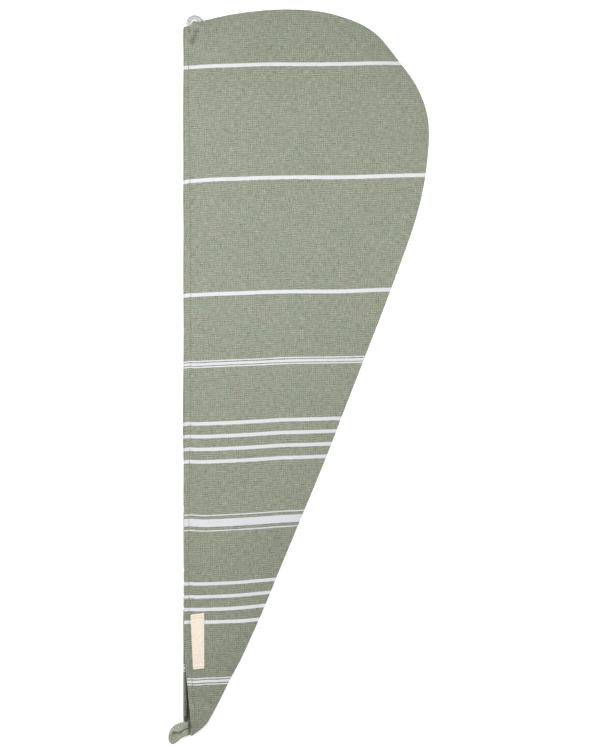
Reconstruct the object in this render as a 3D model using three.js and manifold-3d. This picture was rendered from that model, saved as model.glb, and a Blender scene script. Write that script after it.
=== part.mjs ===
// Hair towel, laid flat on a table as it is stored: two cut panels of flat-woven cotton, seamed round the
// curved side and turned out, so the straight side stays open as the mouth where the head goes in.
// A strap loop is sewn into the tail tip and a sewn-through button sits under the top corner.
// Sizes in millimetres. The pattern is drawn with x across from the mouth line and y up from the tail tip,
// z is the height above the table, and the finished group is centred on the table at the end.
import * as THREE from "three";
import { mergeVertices } from "three/addons/utils/BufferGeometryUtils.js";
import Module from "manifold-3d";

const wasm = await Module();
wasm.setup();

// Cloth
const CLOTH = 1.2; // one layer with its loft
const HEM_WIDTH = 5.2; // turned twice to the inside along the mouth
const HEM_THICK = 2.6;
const GAP = 0.3; // between touching pieces
const SEAM_HEIGHT = 2 * CLOTH + GAP; // outer face of the front panel where the two panels meet
const EDGE_ROUND = 0.35; // how much the top and bottom of a cut or folded edge are rounded off

// Panel mesh
const PANEL_ROWS = 54;
const ROW_CROWDING = 0.62; // 0 spaces the rows evenly, towards 1 crowds them at the tip and the corner
const MID_COLUMNS = 6;
const EDGE_BAND = 34; // band beside the seam where the front falls to it
const EDGE_SHARES = [1, 0.6, 0.3, 0.1, 0.025, 0];
const HEM_SHARES = [0, 0.15, 0.55, 0.95];
const HEM_STEP = 1.06; // the thickness drops between the last hem share and this one

// The seam on the flat pattern: up the long tail, round the crown and along the top to the corner.
const SEAM = [
  { x: 9.2, y: 0.9 }, // tail tip
  { x: 20.5, y: 10.8 },
  { x: 31.0, y: 28.7 },
  { x: 52.8, y: 71.0 },
  { x: 89.4, y: 155.6 },
  { x: 146.6, y: 296.6 },
  { x: 200.7, y: 437.6 },
  { x: 219.8, y: 494.0 },
  { x: 228.3, y: 537.0 },
  { x: 229.8, y: 578.0 }, // widest point of the crown
  { x: 220.2, y: 606.8 },
  { x: 202.3, y: 633.1 },
  { x: 177.0, y: 662.9 },
  { x: 138.0, y: 679.0 },
  { x: 95.0, y: 683.0 }, // top of the crown
  { x: 43.7, y: 677.7 },
  { x: 16.5, y: 671.4 },
  { x: 9.8, y: 670.6 }, // step where the button pulls the corner in
  { x: 6.6, y: 668.0 },
  { x: 0.8, y: 666.1 }, // corner
];
const CORNER_Y = 662.0; // last row at the mouth, below the rounded corner

// The open edge of each panel. Near the tail the front edge draws back and bares the back hem.
const FRONT_MOUTH = [
  { y: 0.2, x: 7.3 },
  { y: 19.3, x: 6.6 },
  { y: 33.4, x: 5.2 },
  { y: 47.5, x: 3.3 },
  { y: 63.5, x: 2.0 },
  { y: 90.0, x: -0.5 },
  { y: 683.0, x: -0.5 },
];
const BACK_MOUTH = [
  { y: 1.5, x: 1.2 },
  { y: 9.0, x: -0.5 },
  { y: 683.0, x: -0.5 },
];

// How the front stands puffed above the seam, and how much lower its open edge lies.
const PUFF = [
  { y: 0, rise: 5.0, mouthDrop: 0.0 },
  { y: 60, rise: 7.0, mouthDrop: 0.6 },
  { y: 140, rise: 9.2, mouthDrop: 1.2 },
  { y: 250, rise: 11.4, mouthDrop: 2.2 },
  { y: 450, rise: 14.6, mouthDrop: 3.6 },
  { y: 560, rise: 14.8, mouthDrop: 3.4 },
  { y: 640, rise: 12.5, mouthDrop: 1.4 },
  { y: 683, rise: 9.0, mouthDrop: 0.0 },
];
const PUFF_FALL = 24; // the rise fades towards the seam over this length
const MOUTH_BAND = 70; // the open edge comes down over this width
const RIPPLE = 0.8; // soft waves that run in from the mouth
const RIPPLE_PITCH = 150;
const RIPPLE_REACH = 80;

// Button
const BUTTON_CENTRE = { x: 10.2, y: 669.6 };
const BUTTON_RADIUS = 7.75;
const BUTTON_THICK = 2.6;
const BUTTON_HOLE_RADIUS = 0.8;
const BUTTON_HOLE_SPACING = 3.6;
const BUTTON_TURN = THREE.MathUtils.degToRad(20); // its two holes lie along the edge of the cloth
const BUTTON_SIDES = 40;
const CORNER_LIFT = BUTTON_THICK + GAP; // the corner of the towel lies on the button
const CORNER_PLATEAU = 8.5;
const CORNER_SLOPE_END = 28;

// Strap loop
const STRAP_THICK = 1.6;
const STRAP_CHAMFER = 0.4;
const STRAP_STEPS = 44;
const STRAP_SEWN_Z = CLOTH + GAP + STRAP_THICK / 2;
const TIP_CENTRE = { x: 7.5, y: 3.0 };
const TIP_LIFT = STRAP_THICK + GAP; // the front rides over the sewn strap ends
const TIP_PLATEAU = 9;
const TIP_SLOPE_END = 34;
// The two edges of the strap: the outer edge rests on the table and the inner edge stands up round the eye.
const STRAP = [
  { ox: 8.3, oy: 12.6, oz: STRAP_SEWN_Z, ix: 8.3, iy: 6.6, iz: STRAP_SEWN_Z }, // upper end, sewn in
  { ox: 3.5, oy: 12.8, oz: STRAP_SEWN_Z, ix: 3.5, iy: 6.5, iz: STRAP_SEWN_Z },
  { ox: -1.2, oy: 12.4, oz: 2.3, ix: -1.0, iy: 6.1, iz: 2.6 },
  { ox: -5.6, oy: 11.0, oz: 1.7, ix: -4.6, iy: 5.1, iz: 4.4 },
  { ox: -9.8, oy: 8.1, oz: 1.2, ix: -7.8, iy: 4.6, iz: 5.8 },
  { ox: -12.9, oy: 3.6, oz: 0.9, ix: -9.8, iy: 4.1, iz: 6.3 },
  { ox: -13.7, oy: -1.8, oz: 0.7, ix: -10.2, iy: 3.0, iz: 6.3 }, // far end of the eye
  { ox: -12.0, oy: -5.9, oz: 0.7, ix: -8.9, iy: 2.4, iz: 6.0 },
  { ox: -8.4, oy: -5.9, oz: 0.9, ix: -6.2, iy: 2.8, iz: 5.2 },
  { ox: -4.2, oy: -3.3, oz: 1.6, ix: -3.4, iy: 3.8, iz: 4.0 },
  { ox: -0.8, oy: -0.9, oz: 2.3, ix: -0.8, iy: 5.3, iz: 2.6 },
  { ox: 3.5, oy: 0.4, oz: STRAP_SEWN_Z, ix: 3.5, iy: 6.1, iz: STRAP_SEWN_Z },
  { ox: 8.3, oy: 1.4, oz: STRAP_SEWN_Z, ix: 8.3, iy: 6.2, iz: STRAP_SEWN_Z }, // lower end, sewn in
];

// Label
const LABEL_THICK = 0.8;
const LABEL_INSET = 6.8; // from the open edge, just inside the hem stitching
const LABEL_RIGHT = 19.4;
const LABEL_BOTTOM = 62.3;
const LABEL_TOP_LEFT = 113.5;
const LABEL_TOP_RIGHT = 115.0;
const LABEL_ROWS = 12;
const LABEL_COLUMNS = 5;

const COTTON = { color: 0x9aa08d, roughness: 0.92, metalness: 0 };
const PEARL = { color: 0xe4e4e2, roughness: 0.28, metalness: 0 };
const CREAM_TAPE = { color: 0xf3e6d6, roughness: 0.85, metalness: 0 };

const smooth = (from, to, value) => THREE.MathUtils.smoothstep(value, from, to);

// Reads a column of a table at y, with a cubic between rows so that the value has no corners.
function readTable(table, column, y) {
  const last = table.length - 1;
  const row = (i) => table[THREE.MathUtils.clamp(i, 0, last)];
  const clamped = THREE.MathUtils.clamp(y, table[0].y, table[last].y);
  let i = 0;
  while (i < last - 1 && table[i + 1].y < clamped) i += 1;
  const slope = (k) => {
    const run = row(k + 1).y - row(k - 1).y;
    return (row(k + 1)[column] - row(k - 1)[column]) / run;
  };
  const run = row(i + 1).y - row(i).y;
  const t = (clamped - row(i).y) / run;
  const t2 = t * t;
  const t3 = t2 * t;
  return (
    (2 * t3 - 3 * t2 + 1) * row(i)[column] +
    (t3 - 2 * t2 + t) * run * slope(i) +
    (3 * t2 - 2 * t3) * row(i + 1)[column] +
    (t3 - t2) * run * slope(i + 1)
  );
}

function readStraight(table, column, y) {
  const last = table.length - 1;
  let i = 0;
  while (i < last - 1 && table[i + 1].y < y) i += 1;
  const t = THREE.MathUtils.clamp((y - table[i].y) / (table[i + 1].y - table[i].y), 0, 1);
  return THREE.MathUtils.lerp(table[i][column], table[i + 1][column], t);
}

const seamCurve = new THREE.CatmullRomCurve3(
  SEAM.map(({ x, y }) => new THREE.Vector3(x, y, 0)),
  false,
  "centripetal",
);
seamCurve.arcLengthDivisions = 800;
const seamSamples = seamCurve.getSpacedPoints(300);

function seamDistance(x, y) {
  const point = new THREE.Vector3(x, y, 0);
  const nearest = new THREE.Vector3();
  const piece = new THREE.Line3();
  let best = Infinity;
  for (let i = 1; i < seamSamples.length; i += 1) {
    piece.set(seamSamples[i - 1], seamSamples[i]);
    piece.closestPointToPoint(point, true, nearest);
    best = Math.min(best, nearest.distanceTo(point));
  }
  return best;
}

function bump(x, y, centre, plateau, slopeEnd, height) {
  const away = Math.hypot(x - centre.x, y - centre.y);
  return height * (1 - smooth(plateau, slopeEnd, away));
}

const cornerLift = (x, y) => bump(x, y, BUTTON_CENTRE, CORNER_PLATEAU, CORNER_SLOPE_END, CORNER_LIFT);
const tipLift = (x, y) => bump(x, y, TIP_CENTRE, TIP_PLATEAU, TIP_SLOPE_END, TIP_LIFT);

// Height of the front panel's outer face above the table.
function frontHeight(x, y) {
  const inward = Math.max(x - readStraight(FRONT_MOUTH, "x", y), 0);
  const swell = 1 - Math.exp(-seamDistance(x, y) / PUFF_FALL);
  const drop = readTable(PUFF, "mouthDrop", y) * (1 - smooth(0, MOUTH_BAND, inward));
  const ripple = RIPPLE * Math.sin((2 * Math.PI * y) / RIPPLE_PITCH) * Math.exp(-inward / RIPPLE_REACH);
  const rise = readTable(PUFF, "rise", y) + ripple;
  return SEAM_HEIGHT + cornerLift(x, y) + tipLift(x, y) + (rise - drop) * swell;
}

// The hem thins out at both ends of the mouth, where it runs into the seam.
function hemThickness(y) {
  return CLOTH + (HEM_THICK - CLOTH) * smooth(12, 30, y) * (1 - smooth(642, 658, y));
}

// Distances in from the mouth, across one row of a panel.
function rowStations(length) {
  const hem = Math.min(HEM_WIDTH, 0.4 * length);
  const band = Math.min(EDGE_BAND, 0.4 * length);
  const start = HEM_STEP * hem;
  const span = length - band - start;
  const stations = HEM_SHARES.map((share) => ({ at: share * hem, hemmed: true }));
  for (let k = 0; k < MID_COLUMNS; k += 1) {
    stations.push({ at: start + (span * k) / MID_COLUMNS, hemmed: false });
  }
  EDGE_SHARES.forEach((share) => stations.push({ at: length - share * band, hemmed: false }));
  return stations;
}

// A closed sheet of cloth from a grid of points, each with a top and a bottom height.
function sheetGeometry(grid) {
  const rows = grid.length;
  const columns = grid[0].length;
  const positions = [];
  grid.flat().forEach(({ x, y, top }) => positions.push(x, y, top));
  grid.flat().forEach(({ x, y, bottom }) => positions.push(x, y, bottom));
  const under = rows * columns;
  const at = (i, j) => i * columns + j;
  const index = [];
  const quad = (a, b, c, d) => index.push(a, b, c, a, c, d);
  for (let i = 0; i + 1 < rows; i += 1) {
    for (let j = 0; j + 1 < columns; j += 1) {
      const corners = [at(i, j), at(i, j + 1), at(i + 1, j + 1), at(i + 1, j)];
      quad(...corners);
      quad(...corners.map((k) => k + under).reverse());
    }
  }
  const rim = [];
  for (let j = 0; j < columns - 1; j += 1) rim.push(at(0, j));
  for (let i = 0; i < rows - 1; i += 1) rim.push(at(i, columns - 1));
  for (let j = columns - 1; j > 0; j -= 1) rim.push(at(rows - 1, j));
  for (let i = rows - 1; i > 0; i -= 1) rim.push(at(i, 0));
  rim.forEach((a, k) => {
    const b = rim[(k + 1) % rim.length];
    quad(a, a + under, b + under, b);
  });
  return new THREE.BufferGeometry()
    .setAttribute("position", new THREE.Float32BufferAttribute(positions, 3))
    .setIndex(index);
}

// Rows of a panel run from its open edge to the seam, fanning round the crown.
function panelGeometry(mouth, faceHeights) {
  const grid = [];
  for (let i = 0; i < PANEL_ROWS; i += 1) {
    const even = i / (PANEL_ROWS - 1);
    const along = even - (ROW_CROWDING * Math.sin(2 * Math.PI * even)) / (2 * Math.PI);
    const y = THREE.MathUtils.lerp(mouth[0].y, CORNER_Y, along);
    const open = new THREE.Vector3(readStraight(mouth, "x", y), y, 0);
    const sewn = seamCurve.getPointAt(along);
    const length = open.distanceTo(sewn);
    const stations = rowStations(length);
    grid.push(
      stations.map(({ at, hemmed }, j) => {
        const point = open.clone().lerp(sewn, at / length);
        const thickness = hemmed ? hemThickness(y) : CLOTH;
        const round = j === 0 || j === stations.length - 1 ? EDGE_ROUND : 0;
        const { top, bottom } = faceHeights(point.x, point.y, thickness);
        return { x: point.x, y: point.y, top: top - round, bottom: bottom + round };
      }),
    );
  }
  return sheetGeometry(grid);
}

function frontPanel() {
  return panelGeometry(FRONT_MOUTH, (x, y, thickness) => {
    const top = frontHeight(x, y);
    return { top, bottom: top - thickness };
  });
}

function backPanel() {
  return panelGeometry(BACK_MOUTH, (x, y, thickness) => {
    const bottom = cornerLift(x, y);
    return { top: bottom + thickness, bottom };
  });
}

function labelGeometry() {
  const grid = [];
  for (let i = 0; i < LABEL_ROWS; i += 1) {
    const up = i / (LABEL_ROWS - 1);
    const row = [];
    for (let j = 0; j < LABEL_COLUMNS; j += 1) {
      const across = j / (LABEL_COLUMNS - 1);
      const top = THREE.MathUtils.lerp(LABEL_TOP_LEFT, LABEL_TOP_RIGHT, across);
      const y = THREE.MathUtils.lerp(LABEL_BOTTOM, top, up);
      const left = readStraight(FRONT_MOUTH, "x", y) + LABEL_INSET;
      const x = THREE.MathUtils.lerp(left, LABEL_RIGHT, across);
      const bottom = frontHeight(x, y) + GAP;
      row.push({ x, y, top: bottom + LABEL_THICK, bottom });
    }
    grid.push(row);
  }
  return sheetGeometry(grid);
}

// The strap's section is a chamfered flat bar, turned at each step to span its two edges.
function strapSection(outer, inner, forward) {
  const across = inner.clone().sub(outer);
  const half = across.length() / 2;
  across.normalize();
  const normal = new THREE.Vector3().crossVectors(forward, across).normalize();
  const middle = outer.clone().lerp(inner, 0.5);
  const thick = STRAP_THICK / 2;
  const cut = STRAP_CHAMFER;
  const corners = [
    { across: half, up: thick - cut },
    { across: half - cut, up: thick },
    { across: cut - half, up: thick },
    { across: -half, up: thick - cut },
    { across: -half, up: cut - thick },
    { across: cut - half, up: -thick },
    { across: half - cut, up: -thick },
    { across: half, up: cut - thick },
  ];
  return corners.map((corner) =>
    middle.clone().addScaledVector(across, corner.across).addScaledVector(normal, corner.up),
  );
}

function strapLoop() {
  const edge = (x, y, z) =>
    new THREE.CatmullRomCurve3(
      STRAP.map((row) => new THREE.Vector3(row[x], row[y], row[z])),
      false,
      "centripetal",
    );
  const outerEdge = edge("ox", "oy", "oz");
  const innerEdge = edge("ix", "iy", "iz");
  const middleAt = (t) => outerEdge.getPoint(t).lerp(innerEdge.getPoint(t), 0.5);
  const rings = [];
  for (let i = 0; i <= STRAP_STEPS; i += 1) {
    const t = i / STRAP_STEPS;
    const nudge = 0.5 / STRAP_STEPS;
    const before = middleAt(Math.max(t - nudge, 0));
    const forward = middleAt(Math.min(t + nudge, 1)).sub(before);
    rings.push(strapSection(outerEdge.getPoint(t), innerEdge.getPoint(t), forward));
  }
  const sides = rings[0].length;
  const index = [];
  for (let i = 0; i < STRAP_STEPS; i += 1) {
    for (let j = 0; j < sides; j += 1) {
      const next = (j + 1) % sides;
      const [a, b, c, d] = [i * sides + j, i * sides + next, (i + 1) * sides + next, (i + 1) * sides + j];
      index.push(a, b, c, a, c, d);
    }
  }
  const last = STRAP_STEPS * sides;
  for (let j = 1; j + 1 < sides; j += 1) {
    index.push(0, j + 1, j);
    index.push(last, last + j, last + j + 1);
  }
  const positions = rings.flat().flatMap((point) => point.toArray());
  return new THREE.BufferGeometry()
    .setAttribute("position", new THREE.Float32BufferAttribute(positions, 3))
    .setIndex(index);
}

function solidFrom(geometry) {
  geometry.deleteAttribute("normal");
  geometry.deleteAttribute("uv");
  const merged = mergeVertices(geometry, 1e-4);
  return new wasm.Manifold(
    new wasm.Mesh({
      numProp: 3,
      vertProperties: merged.attributes.position.array,
      triVerts: new Uint32Array(merged.index.array),
    }),
  );
}

function geometryFrom(solid) {
  const mesh = solid.getMesh();
  return new THREE.BufferGeometry()
    .setAttribute("position", new THREE.BufferAttribute(mesh.vertProperties, 3))
    .setIndex(new THREE.BufferAttribute(mesh.triVerts, 1));
}

// The button lies face down: rim and dished middle to the table, sewn side up with a fine turned ring.
function buttonGeometry() {
  const rim = BUTTON_RADIUS;
  const profile = [
    { r: 0, z: 0.8 },
    { r: rim - 2.9, z: 0.8 },
    { r: rim - 2.3, z: 0.15 },
    { r: rim - 1.3, z: 0 },
    { r: rim - 0.4, z: 0.4 },
    { r: rim, z: 1.2 },
    { r: rim - 0.15, z: 1.8 },
    { r: rim - 0.8, z: 2.3 },
    { r: rim - 1.6, z: BUTTON_THICK },
    { r: rim - 2.4, z: BUTTON_THICK },
    { r: rim - 2.8, z: BUTTON_THICK - 0.2 },
    { r: rim - 3.2, z: BUTTON_THICK },
    { r: 0, z: BUTTON_THICK },
  ].map(({ r, z }) => new THREE.Vector2(r, z));
  const turned = new THREE.LatheGeometry(profile, BUTTON_SIDES).rotateX(Math.PI / 2);
  let body = solidFrom(turned);
  [-0.5, 0.5].forEach((side) => {
    const hole = new THREE.CylinderGeometry(
      BUTTON_HOLE_RADIUS,
      BUTTON_HOLE_RADIUS,
      3 * BUTTON_THICK,
      16,
    ).rotateX(Math.PI / 2);
    body = body.subtract(solidFrom(hole.translate(side * BUTTON_HOLE_SPACING, 0, 0)));
  });
  return geometryFrom(body);
}

function namedMesh(name, geometry, finish) {
  geometry.computeVertexNormals();
  const mesh = new THREE.Mesh(geometry, new THREE.MeshStandardMaterial({ ...finish, flatShading: true }));
  mesh.name = name;
  return mesh;
}

const towel = new THREE.Group();
towel.add(namedMesh("back_panel", backPanel(), COTTON));
towel.add(namedMesh("front_panel", frontPanel(), COTTON));
towel.add(namedMesh("loop", strapLoop(), COTTON));
towel.add(namedMesh("label", labelGeometry(), CREAM_TAPE));
const button = namedMesh("button", buttonGeometry(), PEARL);
button.position.set(BUTTON_CENTRE.x, BUTTON_CENTRE.y, 0);
button.rotation.z = BUTTON_TURN;
towel.add(button);

const extent = new THREE.Box3().setFromObject(towel);
const middle = extent.getCenter(new THREE.Vector3());
towel.position.set(-middle.x, -middle.y, 0);

export default towel;
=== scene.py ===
# %% [markdown]
# A hair towel in Blender
#
# The object is a hair towel laid flat: two layers of thin woven cotton, cut to one long teardrop, sewn
# together along the curved side and turned out. The straight side is the open mouth with a folded hem. A
# strap loop is sewn into the tail tip, and a button sits under the top corner for the loop to catch.
#
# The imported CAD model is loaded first. It fixes where everything is, and every piece below is made to fit it.

# %% Load the frame
import math

import bpy
import numpy as np
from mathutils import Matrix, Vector


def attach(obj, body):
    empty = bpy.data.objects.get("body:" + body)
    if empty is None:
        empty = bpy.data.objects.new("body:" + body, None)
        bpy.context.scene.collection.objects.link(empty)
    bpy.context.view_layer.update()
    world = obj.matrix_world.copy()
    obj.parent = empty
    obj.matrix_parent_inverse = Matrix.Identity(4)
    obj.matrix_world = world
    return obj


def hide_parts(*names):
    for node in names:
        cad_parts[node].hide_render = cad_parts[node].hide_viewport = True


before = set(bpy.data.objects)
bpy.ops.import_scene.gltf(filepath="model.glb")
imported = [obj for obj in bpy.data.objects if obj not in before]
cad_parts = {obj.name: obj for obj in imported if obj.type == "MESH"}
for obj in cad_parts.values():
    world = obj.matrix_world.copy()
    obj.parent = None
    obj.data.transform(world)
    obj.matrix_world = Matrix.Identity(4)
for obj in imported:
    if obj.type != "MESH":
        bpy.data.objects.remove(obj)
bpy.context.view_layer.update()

# %% [markdown]
# The camera hangs straight above the table and looks down, as the photograph was taken. With a long lens the
# sides of a flat thing stay out of sight, so the outline reads like a cutting pattern. The Standard view is
# chosen because it leaves white cloth and a white table as white as they are.

# %% Camera
LENS_MM = 100.0
SENSOR_MM = 36.0
FRAME_HEIGHT = 0.705
FRAME_CENTRE = (0.0015, 0.0006)
CLOTH_LEVEL = 0.003
scene = bpy.context.scene


def add_to_scene(name, data):
    """An object for a camera, a light or a mesh, at the origin."""
    made = bpy.data.objects.new(name, data)
    scene.collection.objects.link(made)
    return made


camera_data = bpy.data.cameras.new("overhead")
camera_data.lens = LENS_MM
camera_data.sensor_width = SENSOR_MM
camera = add_to_scene("overhead", camera_data)
camera.location = (*FRAME_CENTRE, CLOTH_LEVEL + FRAME_HEIGHT * LENS_MM / SENSOR_MM)
scene.camera = camera
scene.view_settings.view_transform = "Standard"
print("camera height", round(camera.location.z, 3))

# %% [markdown]
# Studio light. Two soft panels stand low on either side of the upper half, so the light falls off a little
# towards the tail, and a fold that runs along the towel is dark inside because neither panel reaches into it.
# A third, weaker panel hangs overhead and keeps the shadows soft. A pale world fills in the rest, as the
# white walls of a studio would. One lamp above would do for a first look, but it makes the weave look flat.

# %% Light
PANELS = [
    # name, place, what it faces, side in metres, watts
    ("left_panel", (-0.65, 0.20, 0.55), (0, 0.17, 0), 0.45, 6.45),
    ("right_panel", (0.65, 0.08, 0.55), (0, 0.05, 0), 0.45, 4.65),
    ("top_panel", (-0.05, 0.15, 1.05), (-0.05, 0.15, 0), 0.7, 2.2),
]
WALL_GLOW = 0.40
PURE_WHITE = (1.0, 1.0, 1.0, 1.0)


def hang_panel(name, place, target, size, watts):
    """A square area light at place that faces target."""
    data = bpy.data.lights.new(name, "AREA")
    data.size = size
    data.energy = watts
    panel = add_to_scene(name, data)
    panel.location = place
    panel.rotation_euler = (Vector(place) - Vector(target)).to_track_quat("Z", "Y").to_euler()
    panel.visible_camera = False


for panel_settings in PANELS:
    hang_panel(*panel_settings)
world = bpy.data.worlds.new("studio")
scene.world = world
world.use_nodes = True
walls = world.node_tree.nodes["Background"]
walls.inputs["Color"].default_value = PURE_WHITE
walls.inputs["Strength"].default_value = WALL_GLOW

# %% [markdown]
# A finish in Blender is a tree of small nodes. Long sums are hard to read as nodes, so this small class wraps
# a socket: adding or multiplying two of them adds the Math node, and the code reads like the sum it stands
# for. Every other kind of node comes from one method, which takes its type, its settings and its sockets.


# %% A socket that can do sums
class Wire:
    """An output socket in a node tree. Sums on wires add Math nodes."""

    def __init__(self, tree, socket=None):
        self.tree = tree
        self.socket = socket

    def node(self, kind, settings=None, sockets=None, out=0):
        """Adds a node: settings first, then its sockets by name or number, linked or set."""
        made = self.tree.nodes.new(kind)
        for key, value in (settings or {}).items():
            setattr(made, key, value)
        for key, value in (sockets or {}).items():
            if isinstance(value, Wire):
                self.tree.links.new(value.socket, made.inputs[key])
            else:
                made.inputs[key].default_value = value
        return Wire(self.tree, made.outputs[out] if made.outputs else None)

    def output(self, name):
        """Another output of the node that this wire comes from."""
        return Wire(self.tree, self.socket.node.outputs[name])

    def maths(self, operation, *others):
        """A Math node with this wire in its first socket."""
        return self.node("ShaderNodeMath", {"operation": operation}, dict(enumerate((self, *others))))

    def second(self, operation, other):
        """A Math node with this wire in its second socket, for sums such as 1 - mask."""
        return self.node("ShaderNodeMath", {"operation": operation}, {0: other, 1: self})

    def __add__(self, other):
        return self.maths("ADD", other)

    __radd__ = __add__

    def __sub__(self, other):
        return self.maths("SUBTRACT", other)

    def __rsub__(self, other):
        return self.second("SUBTRACT", other)

    def __mul__(self, other):
        return self.maths("MULTIPLY", other)

    __rmul__ = __mul__

    def __truediv__(self, other):
        return self.maths("DIVIDE", other)

    def __rtruediv__(self, other):
        return self.second("DIVIDE", other)

    def __pow__(self, other):
        return self.maths("POWER", other)

    def __rpow__(self, other):
        return self.second("POWER", other)

    def between(self, low, high):
        """0 below low and 1 above high, with a soft step between."""
        sockets = {"Value": self, "From Min": low, "From Max": high}
        return self.node("ShaderNodeMapRange", {"interpolation_type": "SMOOTHSTEP"}, sockets)

    def blend(self, start, end):
        """start where this wire is 0 and end where it is 1, for numbers."""
        return self.node("ShaderNodeMix", {"data_type": "FLOAT"}, {0: self, 2: start, 3: end})

    def blend_colour(self, start, end):
        """The same for colours."""
        return self.node("ShaderNodeMix", {"data_type": "RGBA"}, {0: self, 6: start, 7: end}, out=2)

    def shade(self, colour):
        """A colour, plain or wired, made lighter or darker by this number."""
        grey = self.node("ShaderNodeCombineColor", None, {0: self, 1: self, 2: self})
        settings = {"data_type": "RGBA", "blend_type": "MULTIPLY"}
        return self.node("ShaderNodeMix", settings, {0: 1.0, 6: colour, 7: grey}, out=2)

    def stretched(self, by):
        """A place with its x, y and z each multiplied by a number of their own."""
        return self.node("ShaderNodeVectorMath", {"operation": "MULTIPLY"}, {0: self, 1: by})


def point(x, y, z=0.0):
    """A vector wire from numbers or wires, of which at least x is a wire."""
    return x.node("ShaderNodeCombineXYZ", None, {0: x, 1: y, 2: z})


def grain(place, detail=1.0):
    """Soft noise from 0 to 1 at a place that is already scaled to its grain."""
    sockets = {"Vector": place, "Scale": 1.0, "Detail": detail}
    return place.node("ShaderNodeTexNoise", {"noise_dimensions": "3D"}, sockets)


def new_finish(name, **constants):
    """A material, its Principled shader and a wire to start from. Constants go straight on the shader."""
    material = bpy.data.materials.new(name)
    material.use_nodes = True
    shader = material.node_tree.nodes["Principled BSDF"]
    for key, value in constants.items():
        shader.inputs[key.replace("_", " ").title().replace("Ior", "IOR")].default_value = value
    return material, shader, Wire(material.node_tree)


def feed(shader, name, wire):
    """Links a wire to one of the shader's sockets."""
    wire.tree.links.new(wire.socket, shader.inputs[name])


def emboss(shader, height, depth, strength):
    """Lets the light see a height that is too fine to model, through a Bump node."""
    sockets = {"Height": height, "Distance": depth, "Strength": strength}
    feed(shader, "Normal", height.node("ShaderNodeBump", None, sockets))


print("wires ready")

# %% [markdown]
# The cloth is a plain weave, one yarn over and one under, about three quarters of a millimetre apart. Every
# yarn has its own shade and its thicker stretches, called slubs, and yarns draw together into faint ribs and
# cords about 1 mm wide. From above this reads as a fine crosshatch, a little warmer here and cooler there. A
# picture of cloth would be quicker to lay on, but it repeats and blurs close by. So the finish is worked out
# from the cut coordinates of the cloth, a UV map in metres that follows every fold, and the yarns turn round
# the hem with it.
#
# The white stripes are woven in with undyed yarn across the towel. Each is a row in a table: its place up the
# cloth and its width. A little of the green warp still shows through the white. The white is painted brighter
# towards the tail, as painted light. Little light gets into the folded edge of the mouth or to the turned-in
# side of the hem in the slit at the tail, so both are darkened with painted shade. The strap is the same
# cloth, painted a little lighter as painted light.

# %% Stripes of the cloth
MM = 0.001
STRIPES = [
    (628.4, 3.3), (521.5, 3.5), (414.4, 3.4),
    (351.9, 1.1), (349.1, 2.2), (346.4, 1.1),
    (293.5, 3.2), (281.5, 3.2), (269.5, 3.2), (257.8, 3.2),
    (207.5, 1.0), (200.35, 7.1), (193.0, 1.0),
    (143.0, 3.0), (130.8, 3.0), (118.9, 3.0), (107.0, 3.0),
    (54.3, 1.0), (51.45, 2.2), (48.6, 1.0),
]
STRIPE_EDGE = (-0.15 * MM, 0.25 * MM)


def stripe_mask(up):
    """1 on a white stripe and 0 off it, from the distance up the cloth."""
    nearest = None
    for place, width in STRIPES:
        away = (up - place * MM).maths("ABSOLUTE") - 0.5 * width * MM
        nearest = away if nearest is None else nearest.maths("MINIMUM", away)
    return 1.0 - nearest.between(*STRIPE_EDGE)


print(len(STRIPES), "woven stripes")

# %% Yarns and patches
YARN_PITCH = 0.75 * MM
YARN_CROWN = 0.4


def woven(across, up, pitch):
    """Which yarn is on top (0 warp, 1 weft), how high it stands, and the number of each yarn."""
    warp = across / pitch
    weft = up / pitch
    warp_number = warp.maths("FLOOR")
    weft_number = weft.maths("FLOOR")
    warp_round = (warp.maths("FRACT") * math.pi).maths("SINE")
    weft_round = (weft.maths("FRACT") * math.pi).maths("SINE")
    over = (warp_number + weft_number).maths("FLOORED_MODULO", 2.0)
    height = over.blend(warp_round * weft_round**YARN_CROWN, weft_round * warp_round**YARN_CROWN)
    return over, height, warp_number, weft_number


def patches(across, up, wide, tall, layer, detail=1.0):
    """Noise from 0 to 1 in patches so many millimetres wide and tall. Another layer gives other patches."""
    return grain(point(across / (wide * MM), up / (tall * MM), layer), detail)


def humps(place, width):
    """A sine from -1 to 1 that rises or dips once in each width."""
    return (place / width * math.pi).maths("SINE")


print("yarn pitch", YARN_PITCH / MM, "mm")

# %% Woven cotton
RIB_WIDTH = 0.98 * MM
CORD_WIDTH = 0.95 * MM
SAGE_COOL = (0.225, 0.269, 0.207, 1.0)
SAGE_WARM = (0.273, 0.269, 0.207, 1.0)
UNDYED = (0.640, 0.647, 0.685, 1.0)
YARN_SHADE, SLUB_SHADE, MOTTLE_SHADE, CLOUD_SHADE = 0.35, 0.65, 1.05, 0.10
YARN_RELIEF, SLUB_RELIEF, MOTTLE_RELIEF = 0.13, 0.14, 0.10
YARN_TO_YARN, ALONG_YARN = 0.83, 60.0
# painted shade: the cloth's colour is painted darker in the gaps between yarns than on their tops
YARN_GAP_PAINTED_SHADE = (0.80, 1.07)
DRIFT_GRAIN, DRIFT_ACROSS, DRIFT_UP = (160, 160, 0), 0.5 * MM, 0.35 * MM
SWAY = 2.5 * MM
PATCH_EDGE = (0.25, 0.75)
RIB_STRENGTH, CORD_STRENGTH = (0.05, 0.5), (0.24, 0.05)
STRIPE_WOBBLE, STRIPE_ON_WARP, WHITE_MOTTLE = 0.5 * MM, 0.80, 0.08
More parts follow.
